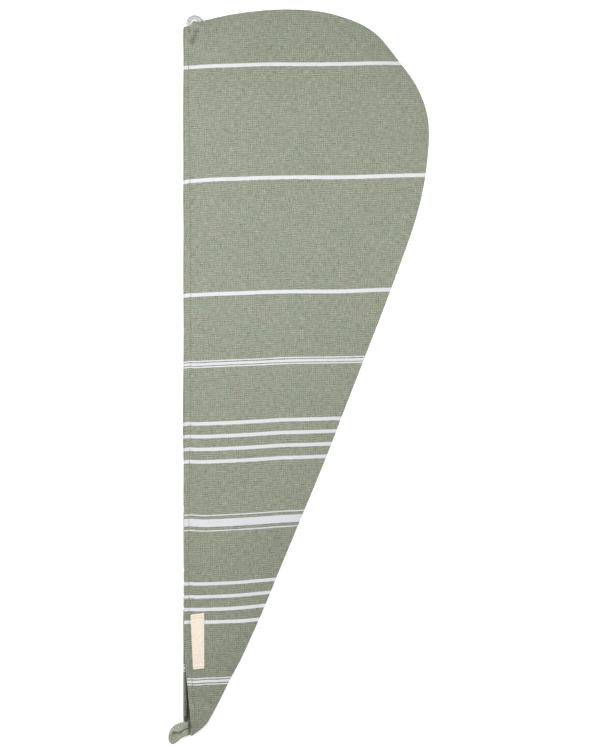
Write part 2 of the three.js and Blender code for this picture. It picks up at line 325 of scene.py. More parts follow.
# painted shade: the folded edge of the mouth, and near the tail the turned-in side of the hem, are painted
# darker
EDGE_PAINTED_SHADE, EDGE_LINE, EDGE_FADE = 0.78, 0.7 * MM, (0.7 * MM, 1.2 * MM)
INSIDE_PAINTED_SHADE, INSIDE_FADE = 0.52, (-4.2 * MM, 1.2 * MM)
SLIT_TOP = (72 * MM, 90 * MM)
# painted light: the white stripes are painted up to 1.18 times brighter towards the tail, where less lamp light
# falls
TAIL_PAINTED_LIGHT, TAIL_FADE = 1.18, (70 * MM, 190 * MM)
# painted light: the strap's copy of the cotton is painted lighter, standing in for the light on the loop
STRAP_PAINTED_LIGHT = 1.32


def painted_mouth_shade(across, up):
    """Painted shade, below 1 on the folded edge of the mouth and, near the tail, on the turned-in side of the
    hem.
    """
    edge = (across - EDGE_LINE).maths("ABSOLUTE").between(*EDGE_FADE).blend(EDGE_PAINTED_SHADE, 1.0)
    inside = across.between(*INSIDE_FADE).blend(INSIDE_PAINTED_SHADE, 1.0)
    return edge * up.between(*SLIT_TOP).blend(inside, 1.0)


def cotton_finish(name, painted_lightness):
    """Sage cotton in uneven plain weave, with ribs, cords and white stripes. The last argument is painted
    light.
    """
    material, shader, start = new_finish(
        name, roughness=0.92, specular_ior_level=0.18, sheen_weight=0.12, sheen_roughness=0.5
    )
    cut = start.node("ShaderNodeUVMap", {"uv_map": "cut"})
    drift = grain(cut.stretched(DRIFT_GRAIN)) - 0.5
    straight = cut.node("ShaderNodeSeparateXYZ", None, {0: cut})
    across = straight + drift * DRIFT_ACROSS
    up = straight.output("Y") + drift * DRIFT_UP
    over, height, warp_number, weft_number = woven(across, up, YARN_PITCH)

    warp_shade = grain(point(warp_number * YARN_TO_YARN, up * ALONG_YARN))
    weft_shade = grain(point(across * ALONG_YARN, weft_number * YARN_TO_YARN, 7.0))
    warp_slub = patches(across, up, 1.0, 6, 3.0)
    weft_slub = patches(across, up, 6, 1.0, 11.0)
    mottle = patches(across, up, 0.9, 0.8, 5.0) - 0.5
    cloud = patches(across, up, 55, 55, 9.0) - 0.5
    tint = patches(across, up, 16, 16, 27.0)
    sway = patches(across, up, 14, 14, 31.0) * SWAY
    dots = patches(across, up, 0.8, 1.2, 19.0).between(*PATCH_EDGE)
    ribs = humps(up + sway, RIB_WIDTH) * patches(across, up, 8, 5, 15.0).between(*PATCH_EDGE)
    cords = humps(across - sway, CORD_WIDTH) * patches(across, up, 5, 8, 23.0).between(*PATCH_EDGE)

    yarn = over.blend(warp_shade, weft_shade) - 0.5
    slub = warp_slub + weft_slub - 1.0
    bands = ribs * dots.blend(*RIB_STRENGTH) + cords * dots.blend(*CORD_STRENGTH)
    uneven = yarn * YARN_SHADE + slub * SLUB_SHADE + mottle * MOTTLE_SHADE + cloud * CLOUD_SHADE
    # painted shade on the mouth's folded edge and on the turned-in hem at the tail
    fold = painted_mouth_shade(straight, up)
    # painted shade between the yarns and the strap's painted light, on top of the sage's own uneven tone
    green = (1.0 + uneven + bands) * height.blend(*YARN_GAP_PAINTED_SHADE) * fold * painted_lightness
    # painted light: the white is painted brighter towards the tail, and it shares the fold's painted shade
    white = (1.0 + mottle * WHITE_MOTTLE) * fold * up.between(*TAIL_FADE).blend(TAIL_PAINTED_LIGHT, 1.0)
    wobble = (weft_slub - 0.5) * STRIPE_WOBBLE
    stripe = stripe_mask(straight.output("Y") + wobble) * over.blend(STRIPE_ON_WARP, 1.0)
    dyed = green.shade(tint.blend_colour(SAGE_COOL, SAGE_WARM))
    feed(shader, "Base Color", stripe.blend_colour(dyed, white.shade(UNDYED)))
    emboss(shader, height * YARN_RELIEF + slub * SLUB_RELIEF + mottle * MOTTLE_RELIEF, MM, 0.9)
    return material


SAGE_COTTON = cotton_finish("sage_cotton", 1.0)
# painted light: the strap's cotton is the same cloth, painted lighter
STRAP_COTTON_PAINTED_LIGHT = cotton_finish("strap_cotton_painted_light", STRAP_PAINTED_LIGHT)
print(len(SAGE_COTTON.node_tree.nodes), "nodes in the cotton")

# %% [markdown]
# The small finishes. Sewing thread is two plies twisted, so fine slanting ridges run round it, with painted
# shade in the grooves between the plies. The label is a cream tape in a close twill, with painted shade in its
# grooves. The button is pearl: pale layers like rings in wood, with a bright dish, under a clear gloss. Its
# darker turned ring is painted shade in the groove and its grey rim is painted shade on the rounded edge, and
# its right and lower sides are painted lighter as painted light. Waves and noise make all three, because they
# stay sharp at any distance and need no picture.

# %% Thread and tape
THREAD_SAGE = (0.205, 0.225, 0.172, 1.0)
THREAD_CREAM = (0.66, 0.60, 0.51, 1.0)
THREAD_PALE = (0.44, 0.46, 0.38, 1.0)
TAPE_CREAM = (0.800, 0.705, 0.595, 1.0)
# painted shade: the thread's colour is painted darker in the grooves between its plies
PLY_SLANT, PLY_SCALE, PLY_PAINTED_SHADE = (0.3, 0.5, 0.7), 950.0, (0.78, 1.08)
TWILL_PITCH, TWILL_SHARE = 0.42 * MM, 0.6
PICK_PITCH, PICK_SHARE = 0.36 * MM, 0.4
# painted shade: the tape's colour is painted darker in the grooves of its twill
TAPE_PAINTED_SHADE, TAPE_MOTTLE = (0.86, 1.05), 0.55


def thread_finish(name, colour):
    """Twisted sewing thread."""
    material, shader, start = new_finish(name, roughness=0.7, specular_ior_level=0.3)
    place = start.node("ShaderNodeTexCoord").output("Object")
    turned = place.node("ShaderNodeMapping", None, {"Vector": place, "Rotation": PLY_SLANT})
    sockets = {"Vector": turned, "Scale": PLY_SCALE, "Distortion": 1.5}
    ply = turned.node("ShaderNodeTexWave", None, sockets).output("Fac")
    # painted shade in the grooves between the plies
    feed(shader, "Base Color", ply.blend(*PLY_PAINTED_SHADE).shade(colour))
    emboss(shader, ply, 0.05 * MM, 0.8)
    return material


def tape_finish():
    """Cream label tape with fine slanting twill lines."""
    material, shader, start = new_finish("cream_tape", roughness=0.8, specular_ior_level=0.2)
    cut = start.node("ShaderNodeUVMap", {"uv_map": "cut"})
    across = cut.node("ShaderNodeSeparateXYZ", None, {0: cut})
    up = across.output("Y")
    twill = humps(across + up, TWILL_PITCH).maths("ABSOLUTE")
    pick = humps(up, PICK_PITCH).maths("ABSOLUTE")
    mottle = patches(across, up, 1.3, 1.3, 2.0, detail=2.0)
    height = twill * TWILL_SHARE + pick * PICK_SHARE
    # painted shade in the twill's grooves, times the tape's own mottle
    lightness = height.blend(*TAPE_PAINTED_SHADE) * (1.0 + (mottle - 0.5) * TAPE_MOTTLE)
    feed(shader, "Base Color", lightness.shade(TAPE_CREAM))
    emboss(shader, height + mottle, 0.07 * MM, 0.8)
    return material


SAGE_THREAD = thread_finish("sage_thread", THREAD_SAGE)
CREAM_THREAD = thread_finish("cream_thread", THREAD_CREAM)
PALE_THREAD = thread_finish("pale_sage_thread", THREAD_PALE)
CREAM_TAPE = tape_finish()
print([finish.name for finish in (SAGE_THREAD, CREAM_THREAD, PALE_THREAD, CREAM_TAPE)])

# %% Pearl
PEARL_PALE = (0.68, 0.68, 0.70, 1.0)
PEARL_GREY = (0.26, 0.26, 0.28, 1.0)
PEARL_GRAIN = (420, 900, 500)
PEARL_LAYERS = {"Scale": 95.0, "Distortion": 3.0, "Detail": 2.0, "Detail Scale": 2.0}
LAYER_SHARE, CLOUD_SHARE, TONE_EDGE = 0.4, 0.6, (0.30, 0.62)
# painted shade: the turned ring's groove is painted darker, more on its upper side
TURNED_RING, RING_FADE, RING_PAINTED_SHADE = 4.7 * MM, (0.2 * MM, 0.7 * MM), (0.2, 0.8)
# painted shade: the rounded rim of the button is painted darker
RIM, RIM_PAINTED_SHADE = (7.3 * MM, 8.1 * MM), 0.3
DISH_EDGE, DISH_WHITE = 3.9 * MM, 0.7
PEARL_BASE, PEARL_TONE = 0.16, 0.45
PEARL_GLOSS = (0.20, 0.34)


def pearl_finish(centre):
    """Pearl with grey layers in rings and streaks about the button's centre."""
    material, shader, start = new_finish("pearl_shell", roughness=0.26, coat_weight=0.5, coat_roughness=0.12)
    place = start.node("ShaderNodeTexCoord").output("Object")
    moved = place.node("ShaderNodeMapping", None, {"Vector": place, "Location": tuple(-c for c in centre)})
    cloud = grain(moved.stretched(PEARL_GRAIN), detail=3.0)
    settings = {"wave_type": "RINGS", "rings_direction": "Z"}
    layer = moved.node("ShaderNodeTexWave", settings, {"Vector": moved, **PEARL_LAYERS})
    tone = (layer.output("Fac") * LAYER_SHARE + cloud * CLOUD_SHARE).between(*TONE_EDGE)
    away = moved.node("ShaderNodeVectorMath", {"operation": "LENGTH"}, {0: moved}, "Value")
    side = moved.node("ShaderNodeSeparateXYZ", None, {0: moved})
    up = side.output("Y")
    # painted shade in the turned ring's groove, stronger on its upper side
    ring = 1.0 - (away - TURNED_RING).maths("ABSOLUTE").between(*RING_FADE)
    ring = ring * up.between(-1 * MM, 4 * MM).blend(*RING_PAINTED_SHADE)
    # painted shade on the rounded rim
    rim = away.between(*RIM).blend(1.0, RIM_PAINTED_SHADE)
    dish = away.between(DISH_EDGE, TURNED_RING).blend(DISH_WHITE, 0.0)
    # painted light: the right and lower sides of the button are painted lighter
    painted_side_light = side.between(0.0, 6 * MM) * 0.20 + up.between(-3 * MM, 5 * MM).blend(0.25, 0.0)
    pearly = (tone * PEARL_TONE + PEARL_BASE + dish + painted_side_light) * (1.0 - ring) * rim
    feed(shader, "Base Color", pearly.blend_colour(PEARL_GREY, PEARL_PALE))
    feed(shader, "Roughness", cloud.blend(*PEARL_GLOSS))
    return material


print("turned ring", TURNED_RING / MM, "mm from the middle")

# %% [markdown]
# The table is a plain white board, because from above nobody would see a curved backdrop turn up behind it.
# It gives off a little light of its own, as a lit white sweep does in a studio, so that it stays white under
# the darker end of the towel. The helper that makes its mesh makes every mesh after it.

# %% Table
TABLE_SIZE = 20.0
BOARD_WHITE = (0.9, 0.9, 0.9, 1.0)
BOARD_GLOW = 0.36


def new_piece(name, points, faces, material=None, cut=None, edges=()):
    """A mesh object from points in metres. cut is each point's place in the cloth in mm, for a UV map."""
    mesh = bpy.data.meshes.new(name)
    mesh.from_pydata(points, edges, faces)
    if cut is not None:
        corners = np.empty(len(mesh.loops), np.int32)
        mesh.loops.foreach_get("vertex_index", corners)
        layer = mesh.uv_layers.new(name="cut")
        layer.data.foreach_set("uv", (cut.reshape(-1, 2) * MM)[corners].astype(np.float32).ravel())
    if material:
        mesh.shade_smooth()
        mesh.materials.append(material)
    return add_to_scene(name, mesh)


def make_table():
    """The board under the towel, which is staging and no part of it."""
    half = TABLE_SIZE / 2
    corners = [(-half, -half, 0), (half, -half, 0), (half, half, 0), (-half, half, 0)]
    paint, _, _ = new_finish(
        "white_board", roughness=0.8, specular_ior_level=0.1, base_color=BOARD_WHITE,
        emission_color=PURE_WHITE, emission_strength=BOARD_GLOW
    )
    top = new_piece("table_top", corners, [(0, 1, 2, 3)], paint)
    return top


print("table", make_table().name)

# %% [markdown]
# The towel is drawn as its maker would draw the pattern: millimetres, x across from the mouth line and y up
# from the tail tip. One helper moves a finished drawing into the frame's metres. The seam is a smooth line
# through a short table of points, the same as in the CAD model. The mouth edges are tables of y and x, and
# both layers share a slight wander, because no edge lies quite straight. An outline drawn by hand with curves
# would look the same from above, but the rows of a table can be measured, changed and compared one by one.

# %% The pattern
PATTERN_SHIFT = np.array([-107.998, -338.270, 0.0])
SEAM_POINTS = [
    (8.3, 0.0), (21.0, 10.4), (31.7, 28.5), (43.6, 52.2), (53.6, 71.0), (74.9, 118.0), (90.3, 155.6),
    (136.9, 268.4), (147.6, 296.6), (201.8, 437.6),
    (220.8, 494.0), (228.9, 537.0), (230.1, 578.0), (221.0, 606.9), (203.0, 633.4), (177.0, 662.7),
    (138.0, 678.7), (95.0, 682.7), (43.7, 677.7), (16.9, 671.0), (13.0, 670.1), (9.4, 671.0), (8.1, 669.8),
    (7.0, 668.0), (5.2, 666.5), (2.6, 666.3), (0.6, 666.0),
]
SEAM_STEPS = 700
CORNER_Y = 664.2
FRONT_MOUTH = [
    (0.2, 6.9), (5.6, 7.3), (10.3, 7.45), (14.6, 6.95), (18.3, 6.3), (23.0, 5.9), (29.0, 5.2), (35.0, 4.75),
    (41.8, 4.3), (47.5, 3.75), (56.0, 3.0), (62.0, 2.4), (75.0, 1.3), (100.0, 0.6), (240.0, 0.3),
    (285.0, -0.25), (683.0, -0.25),
]
BACK_MOUTH = [
    (1.5, 1.2), (9.0, -0.2), (85.0, -0.2), (105.0, -0.6), (240.0, -0.65), (265.0, -0.25), (683.0, -0.25),
]
WANDER = [
    (0, 0.0), (90, 0.0), (109, 0.15), (127, 0.45), (146, 0.6), (175, 0.45), (221, 0.3), (240, 0.45),
    (278, -0.05), (315, 0.15), (334, 0.45), (353, 0.6), (381, 0.75), (418, 0.4), (447, 0.45), (475, 0.7),
    (503, 0.35), (532, 0.5), (580, 0.25), (616, 0.5), (635, 0.5), (655, 0.05), (683, 0.0),
]


def in_frame(points):
    """Pattern millimetres to the frame's metres."""
    return (np.asarray(points, float) + PATTERN_SHIFT) * MM


def wander(y):
    """How far the mouth edge strays at y, as the towel was laid down."""
    return np.interp(y, *np.array(WANDER).T)


def mouth_x(table, y):
    """Where the open edge of a layer runs at y."""
    return np.interp(y, *np.array(table).T) + wander(y)


def smooth_line(points, steps):
    """A centripetal Catmull-Rom line through the points, cut at even distances along it."""
    p = np.asarray(points, float)
    p = np.vstack([2 * p[0] - p[1], p, 2 * p[-1] - p[-2]])
    line = []
    t = np.linspace(0, 1, 60)[:, None]
    for a, b, c, d in zip(p, p[1:], p[2:], p[3:]):
        before, here, after = (np.linalg.norm(e) ** 0.5 for e in (b - a, c - b, d - c))
        leave = ((b - a) / before - (c - a) / (before + here) + (c - b) / here) * here
        arrive = ((c - b) / here - (d - b) / (here + after) + (d - c) / after) * here
        cubic = 2 * (b - c) + leave + arrive
        square = 3 * (c - b) - 2 * leave - arrive
        line.append(((cubic * t + square) * t + leave) * t + b)
    line = np.vstack([part[:-1] for part in line] + [p[-2:-1]])
    run = np.append(0, np.cumsum(np.linalg.norm(np.diff(line, axis=0), axis=1)))
    even = run[-1] * np.asarray(steps, float)
    return np.stack([np.interp(even, run, line[:, k]) for k in range(p.shape[1])], axis=1)


SEAM = smooth_line(SEAM_POINTS, np.linspace(0, 1, SEAM_STEPS))
seam_length = np.linalg.norm(np.diff(SEAM, axis=0), axis=1).sum()
print("seam", round(seam_length), "mm")

# %% [markdown]
# How high does the front layer lie? It is sewn down along the seam and stands loose in between, so it rises
# quickly from the seam and then stays almost level, a little lower again at the open mouth. The same numbers
# shaped the CAD model. On top of them come the small forms of sewn cloth: a shallow groove under the hem
# stitches, puckers along the seam, and the creases that the button pulls into the corner. Sculpting by hand
# could give them too, but sums of waves and humps give the same cloth each time and are easy to change.

# %% Forms and tables
def soft_step(low, high, value):
    """0 below low and 1 above high, with a soft step between."""
    t = np.clip((np.asarray(value, float) - low) / (high - low), 0, 1)
    return t * t * (3 - 2 * t)


def hump(away, width):
    """1 where away is 0, fading softly over the width."""
    return np.exp(-((away / width) ** 2))


def wave(place, length, phase=0.0):
    """A sine from -1 to 1 with its crests a length apart."""
    return np.sin(2 * np.pi * place / length + phase)


def read_table(table, column, y):
    """A column of a table at y, with a cubic between its rows."""
    rows = np.array(table, float)
    place, value = rows[:, 0], rows[:, column]
    slope = np.gradient(value, place)
    slope[1:-1] = (value[2:] - value[:-2]) / (place[2:] - place[:-2])
    y = np.clip(y, place[0], place[-1])
    k = np.clip(np.searchsorted(place, y) - 1, 0, len(place) - 2)
    run = place[k + 1] - place[k]
    t = (y - place[k]) / run
    start = (2 * t**3 - 3 * t**2 + 1) * value[k] + (t**3 - 2 * t**2 + t) * run * slope[k]
    return start + (3 * t**2 - 2 * t**3) * value[k + 1] + (t**3 - t**2) * run * slope[k + 1]


def line_distance(x, y, line):
    """Distance from each point to a line of points."""
    start, step = line[:-1], np.diff(line, axis=0)
    out = np.empty(x.shape)
    for index in np.ndindex(x.shape[:-1]):
        gap = np.stack([x[index], y[index]], axis=-1)[:, None, :] - start
        t = np.clip((gap * step).sum(-1) / (step**2).sum(-1), 0, 1)
        out[index] = np.sqrt(((gap - t[..., None] * step) ** 2).sum(-1).min(axis=1))
    return out


print("a hump halfway out", round(float(hump(0.5, 1)), 2))

# %% Heights of the cloth
CLOTH = 0.65
SEAM_HEIGHT = 2.7
PUFF_REACH = 24
DROP_REACH = 70
RIPPLE_HEIGHT, RIPPLE_LENGTH, RIPPLE_REACH = 0.8, 150, 80
PUFF = [
    # y, height in the middle, drop at the mouth
    (0, 5.0, 0.0), (60, 7.0, 0.6), (140, 9.2, 1.2), (250, 11.4, 2.2),
    (450, 14.6, 3.6), (560, 14.8, 3.4), (640, 12.5, 1.4), (683, 9.0, 0.0),
]
STITCH_LINE = [
    (0, 5.0), (60, 5.0), (100, 5.0), (175, 5.1), (240, 5.6), (300, 7.5), (455, 7.5), (545, 6.6),
    (600, 5.7), (670, 5.3),
]
HEM_BEGINS, HEM_ENDS = (16, 34), (650, 660)
GROOVE_DEPTH, GROOVE_WIDTH = 0.22, 0.8
ROPING_HEIGHT, ROPING_LENGTH, ROPING_REACH = 0.10, 8.5, 5
HEM_STEP, STEP_RUN = 0.25, (0.8, 4.0)
PUCKER_DEPTH, PUCKER_LENGTH, PUCKER_PLACE, PUCKER_WIDTH = 0.30, 13, 5, 4
HEM_CURL = 3.4
CURL_BEGINS, CURL_ENDS, CURL_FADE = (13.5, 19), (55, 90), (2.8, 5.2)
BUTTON_CENTRE = (10.4, 669.4)
BUTTON_LIFT = {"centre": BUTTON_CENTRE, "level_to": 8.5, "gone_at": 28, "height": 2.9}
TIP_LIFT = {"centre": (7.5, 3.0), "level_to": 9, "gone_at": 34, "height": 2.7}
CREASE_FADE = (-3, 7)
CREASES = [
    # from, to, half width, depth
    ((14.7, 661.8), (10.0, 653.0), 4.6, 2.9),
    ((16.9, 667.6), (7.8, 648.4), 2.2, 0.6),
    ((6.2, 667.2), (6.0, 661.8), 1.8, 1.6),
    ((18.0, 672.5), (21.0, 667.0), 2.2, 0.8),
]


def stitch_inset(y):
    """How far in from the mouth the hem is stitched. Sewn by hand and eye, it strays by a few millimetres."""
    return read_table(STITCH_LINE, 1, y) - wander(y)


def lift(x, y, centre, level_to, gone_at, height):
    """A rise with a level top, over something that the cloth lies on."""
    away = np.hypot(x - centre[0], y - centre[1])
    return height * (1 - soft_step(level_to, gone_at, away))


def waves(x, y):
    """Soft unevenness of cloth that was smoothed out by hand."""
    broad = np.sin(x / 31 + 1.3) * np.sin(y / 47 + 0.4)
    slant = np.sin((x + 0.6 * y) / 23 + 2.1) * np.sin((y - 0.3 * x) / 61)
    return 0.40 * broad + 0.22 * slant


def front_height(x, y):
    """Outer face of the front layer above the table."""
    x, y = np.atleast_2d(x).astype(float), np.atleast_2d(y).astype(float)
    inward = np.maximum(x - mouth_x(FRONT_MOUTH, y), 0)
    from_seam = line_distance(x, y, SEAM)
    swell = 1 - np.exp(-from_seam / PUFF_REACH)
    drop = read_table(PUFF, 2, y) * (1 - soft_step(0, DROP_REACH, inward))
    ripple = RIPPLE_HEIGHT * wave(y, RIPPLE_LENGTH) * np.exp(-inward / RIPPLE_REACH)
    puff = read_table(PUFF, 1, y) + ripple + waves(x, y) - drop
    height = SEAM_HEIGHT + lift(x, y, **BUTTON_LIFT) + lift(x, y, **TIP_LIFT) + puff * swell
    hemmed = soft_step(*HEM_BEGINS, y) * (1 - soft_step(*HEM_ENDS, y))
    from_stitches = inward - stitch_inset(y)
    groove = GROOVE_DEPTH * hump(from_stitches, GROOVE_WIDTH)
    roping = ROPING_HEIGHT * wave(y + 0.8 * inward, ROPING_LENGTH) * np.exp(-inward / ROPING_REACH)
    step_down = HEM_STEP * soft_step(*STEP_RUN, from_stitches)
    height += hemmed * (roping - groove - step_down)
    pucker = 0.5 + 0.5 * wave(0.45 * x + y, PUCKER_LENGTH, 1.5 * np.sin(y / 37))
    height -= PUCKER_DEPTH * pucker * hump(from_seam - PUCKER_PLACE, PUCKER_WIDTH)
    pressed = soft_step(*CREASE_FADE, from_seam)
    for start, end, half_width, depth in CREASES:
        away = line_distance(x, y, np.array([start, end])) / half_width
        height -= pressed * depth * (1 - 1.2 * away**2) * hump(away, 1)
    return height


def back_height(x, y):
    """Outer face of the back layer, over the table and the button. At the tail its hem curls up."""
    inward = np.maximum(x - mouth_x(BACK_MOUTH, y), 0)
    curled = soft_step(*CURL_BEGINS, y) * (1 - soft_step(*CURL_ENDS, y))
    return lift(x, y, **BUTTON_LIFT) + HEM_CURL * curled * (1 - soft_step(*CURL_FADE, inward))


print("front height in the middle", round(float(front_height(100.0, 400.0)[0, 0]), 2), "mm")

# %% [markdown]
# Each layer is one sheet of cloth with its real folds. Seen across the towel, the cloth starts with its raw
# edge inside the hem, turns twice, forms the soft edge of the mouth, runs over to the seam, turns in again
# there and ends in a seam allowance. So a row of stations walks along that path, and the rows follow each
# other from the tail tip to the corner. Offsetting the path by half the cloth to both sides gives two faces.
#
# A cloth simulation would give folds too, but this towel lies smoothed out and its shape is known: moving the
# points by rule keeps the outline exact and gives the same mesh each time.

# %% Stations across a row
ROWS = 430
ROW_CROWDING = 0.68
NEAR_MOUTH = [0, 0.7, 1.4, 2.2, 3.0, 3.8, 4.4, 4.9, 5.3, 5.7, 6.2, 6.7, 7.2, 7.8, 8.6, 9.8, 11.5, 14]
NEAR_SEAM = [16, 13, 10.5, 8.5, 7, 5.6, 4.4, 3.4, 2.5, 1.7, 1.0, 0.45, 0]
MIDDLE = 44
LEAST_MIDDLE = 6.0


def unit(v):
    """Vectors cut to length 1."""
    return v / np.linalg.norm(v, axis=-1, keepdims=True)


def outward_of(line, sign):
    """The direction out of the towel at each point of an edge, flat on the table."""
    along = unit(np.gradient(line, axis=0))
    return sign * np.stack([along[:, 1], -along[:, 0]], axis=1)


def body_stations(length):
    """Distances from the first to the last point of the plain cloth, finer at both ends."""
    scale = min(1.0, length / (NEAR_MOUTH[-1] + NEAR_SEAM[0] + LEAST_MIDDLE))
    near = np.array(NEAR_MOUTH) * scale
    far = length - np.array(NEAR_SEAM) * scale
    middle = np.linspace(near[-1], far[0], MIDDLE + 2)[1:-1]
    return np.concatenate([near, middle, far])


print(len(body_stations(200.0)), "stations on the plain cloth")

# %% Place in the weave
WEFT_X = [0, 6, 12, 21, 35, 54, 72, 91, 110, 148, 185, 230]
WEFT_RISE = [
    (51, [-0.5, -0.2, -0.5, 0.1, 0.2, 1.1, 2.6, 4.0, 5.0, 6.0, 6.0, 6.0]),
    (107, [-0.2, 0.3, 0.1, 0.2, 0.5, 1.0, 2.0, 3.2, 4.5, 6.0, 6.0, 6.0]),
    (125, [-0.2, 0.3, 0.1, 0.3, 0.8, 1.8, 3.2, 4.3, 5.0, 6.0, 6.0, 6.0]),
    (200, [-0.1, 0.5, 0.1, -0.3, 0.3, 1.3, 2.4, 3.6, 4.2, 5.0, 5.5, 6.0]),
    (276, [-0.9, -0.1, -0.4, -0.2, 0.3, 1.2, 2.3, 3.5, 4.0, 5.0, 5.5, 6.0]),
    (349, [-1.3, -0.4, -0.6, -0.1, 0.5, 1.3, 2.0, 3.0, 3.5, 4.1, 5.0, 6.0]),
    (414, [-1.7, -0.9, -0.8, -0.2, 0.3, 0.9, 1.7, 2.2, 2.5, 2.7, 4.4, 6.0]),
    (521, [-2.6, -1.5, -1.1, -0.4, 0.3, 0.6, 1.3, 1.7, 1.9, 2.0, 3.2, 5.6]),
    (628, [-2.2, -1.8, -1.5, -0.9, -0.4, 0.1, 0.7, 1.0, 0.9, 1.3, 2.8, 4.4]),
]


def weave_place(x, y):
    """Where a point of the cut is in the weave. Cloth is never cut quite straight: here its weft rises."""
    heights = np.array([row[0] for row in WEFT_RISE], float)
    rises = np.stack([read_table(list(zip(WEFT_X, row[1])), 1, x) for row in WEFT_RISE])
    k = np.clip(np.searchsorted(heights, y) - 1, 0, len(heights) - 2)
    t = np.clip((y - heights[k]) / (heights[k + 1] - heights[k]), 0, 1)
    low = np.take_along_axis(rises, k[None], axis=0)[0]
    high = np.take_along_axis(rises, k[None] + 1, axis=0)[0]
    return np.stack([x, y - low - (high - low) * t], axis=-1)


print(len(WEFT_RISE), "rows of the weft's rise")

# %% The path of the cloth
HEM_MARGIN = 0.8
NARROW_HEM = 1.6
HEM_TURN = 0.95
SEAM_TURN = 0.34
ALLOWANCE = 8.0
FULL_LENGTH = 9.0


def cloth_path(mouth, seam, hemmed):
    """The stations of one row: place, direction of the right side, depth inside and place in the cut.

    mouth and seam are the row's ends, each with the direction out of the towel. hemmed is 1 for a full hem,
    and rows shorter than FULL_LENGTH get finer folds.
    """
    length = np.linalg.norm(seam["at"] - mouth["at"])
    flat = min(1.0, length / FULL_LENGTH)
    half = CLOTH / 2 * flat
    turn, turn_deep = HEM_TURN * flat, HEM_TURN * hemmed
    small, small_deep = turn / 2, turn_deep / 2
    width = float(stitch_inset(mouth["at"][1])) + HEM_MARGIN
    hem = min(NARROW_HEM + (width - NARROW_HEM) * hemmed, 0.4 * length)
    fold = turn + half
    lap = max(hem - small - half, fold + 0.2 * flat)
    path = []

    def lay(at, out, depth, side, up, cut):
        path.append((*at, *(out * side), up, depth, *cut))

    def on_hem(inward, depth, side, up, past):
        place = mouth["at"] - mouth["out"] * inward
        lay(place, mouth["out"], depth, side, up, mouth["at"] + mouth["out"] * past)

    round_mouth = math.pi * turn / 2
    past_lap = round_mouth + (lap - fold)
    past_end = past_lap + math.pi * small
    for share in (0.3, 0.65, 1.0):
        inward = fold + (lap - fold) * share
        on_hem(inward, turn_deep, 0.0, 1.0, past_end + lap - inward)
    for angle in math.pi * np.array([0.8, 0.6, 0.4, 0.2]):
        inward = lap + small * math.sin(angle)
        depth = 2 * turn_deep - small_deep * (1 - math.cos(angle))
        on_hem(inward, depth, -math.sin(angle) * flat, -math.cos(angle), past_lap + small * angle)
    for share in (1.0, 0.75, 0.5, 0.25, 0.0):
        inward = fold + (lap - fold) * share
        on_hem(inward, 2 * turn_deep, 0.0, -1.0, round_mouth + inward - fold)
    for angle in math.pi * np.arange(7, 0, -1) / 8:
        inward = fold - turn * math.sin(angle)
        depth = turn_deep * (1 - math.cos(angle))
        on_hem(inward, depth, math.sin(angle) * flat, math.cos(angle), (angle - math.pi / 2) * turn)

    in_seam = SEAM_TURN * flat + half
    start, end = mouth["at"] - mouth["out"] * fold, seam["at"] - seam["out"] * in_seam
    run = np.linalg.norm(end - start)
    for along in body_stations(run):
        place = start + (end - start) * along / run
        lay(place, seam["out"], 0.0, 0.0, 1.0, place)
    for angle in math.pi * np.arange(1, 6) / 6:
        place = end + seam["out"] * SEAM_TURN * flat * math.sin(angle)
        depth = SEAM_TURN * (1 - math.cos(angle))
        cut = seam["at"] + seam["out"] * ((angle - math.pi / 2) * SEAM_TURN)
        lay(place, seam["out"], depth, math.sin(angle) * flat, math.cos(angle), cut)
    allowance = min(ALLOWANCE, 0.3 * length) - in_seam
    for share in (0.0, 0.33, 0.67, 1.0):
        inward = seam["out"] * allowance * share
        lay(end - inward, seam["out"], 2 * SEAM_TURN, 0.0, -1.0, seam["at"] + inward)
    return path


print("hem turn", HEM_TURN, "mm, seam turn", SEAM_TURN, "mm")

# %% Sheets from paths
def sheet_mesh(name, outer, inner, cut, material):
    """A closed sheet from the grids of its two faces, with the cut as its UV map."""
    rows, columns = outer.shape[:2]
    at = np.arange(rows * columns).reshape(rows, columns)
    quads = np.stack([at[:-1, :-1], at[:-1, 1:], at[1:, 1:], at[1:, :-1]], axis=-1).reshape(-1, 4)
    rim = np.concatenate([at[0, :-1], at[:-1, -1], at[-1, :0:-1], at[:0:-1, 0]])
    following = np.roll(rim, -1)
    under = rows * columns
    walls = np.stack([rim, rim + under, following + under, following], axis=-1)
    faces = np.concatenate([quads, quads[:, ::-1] + under, walls])
    points = np.concatenate([outer.reshape(-1, 3), inner.reshape(-1, 3)])
    a, b, c, d = (points[faces[:, k]] for k in range(4))
    volume = (a * np.cross(b, c)).sum() + (a * np.cross(c, d)).sum()
    if volume < 0:
        faces = faces[:, ::-1]
    return new_piece(name, in_frame(points), faces.tolist(), material, np.concatenate([cut, cut]))


TIP_HEM = 0.36
FULL_FROM, FULL_TO = (12, 30), (642, 658)
BACK_SHIFT = -12.7


